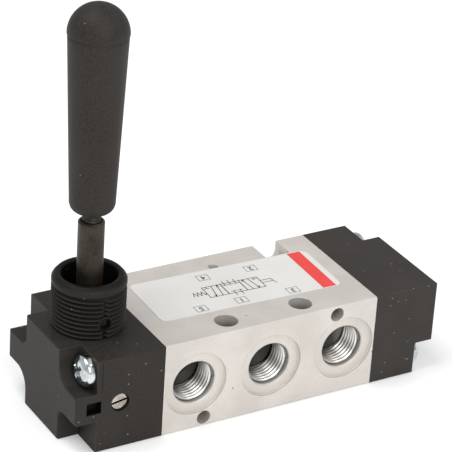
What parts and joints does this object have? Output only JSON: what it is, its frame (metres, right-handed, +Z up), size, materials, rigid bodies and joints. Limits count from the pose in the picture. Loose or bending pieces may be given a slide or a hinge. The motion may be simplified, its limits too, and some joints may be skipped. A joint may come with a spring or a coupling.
{
  "type": "hand lever air valve",
  "caption": "Spool valve with a hand lever that swings on a threaded collar, an aluminium body with threaded ports and black plastic ends.",
  "frame": {"origin": "centre of the body's flat underside", "axes": "+X along the spool towards the end cap, -Y out of the three front ports, +Z up along the lever"},
  "size_m": [0.0867, 0.031, 0.092],
  "materials": {
    "body_aluminium": "satin, warm light grey",
    "black_moulding": "matte, fine grain",
    "grip_black": "matte",
    "dark_steel": "burnished",
    "zinc_steel": "bright zinc plate",
    "nickel_steel": "satin",
    "brass": "plain",
    "seal_rubber": "matte",
    "spacer_plastic": "matte",
    "label_film": "satin film"
  },
  "bodies": {
    "valve": {"valve_body": "body_aluminium", "ball_plug": "zinc_steel", "label": "label_film", "lever_housing": "black_moulding", "threaded_collar": "black_moulding", "pivot_pin": "dark_steel", "guide_screw": "nickel_steel", "end_cap": "black_moulding", "housing_screws": "zinc_steel", "cap_screws": "zinc_steel", "housing_o_ring": "seal_rubber", "cap_o_ring": "seal_rubber", "spool_seals": "seal_rubber", "seal_spacers": "spacer_plastic", "guide_bushes": "brass", "spring_washer": "zinc_steel", "inner_spring": "zinc_steel", "outer_spring": "zinc_steel"},
    "lever": {"lever_rod": "dark_steel", "lever_stud": "dark_steel", "grip": "grip_black", "grip_insert": "brass"},
    "spool_group": {"spool": "nickel_steel", "spring_seat": "nickel_steel", "spool_end_screw": "zinc_steel"}
  },
  "joints": [
    {"name": "lever_swing", "type": "hinge", "parent": "valve", "child": "lever", "pos_m": [-0.0355, 0, 0.0247], "axis": [0, 1, 0], "range_deg": [-13, 13], "stiffness_Nm_per_rad": 0.4},
    {"name": "spool_slide", "type": "slide", "parent": "valve", "child": "spool_group", "axis": [1, 0, 0], "range_m": [-0.00319, 0.00319], "deforming": ["inner_spring", "outer_spring"]}
  ],
  "couplings": [
    {"joint": "spool_slide", "follows": "lever_swing", "m_per_rad": -0.01405}
  ]
}
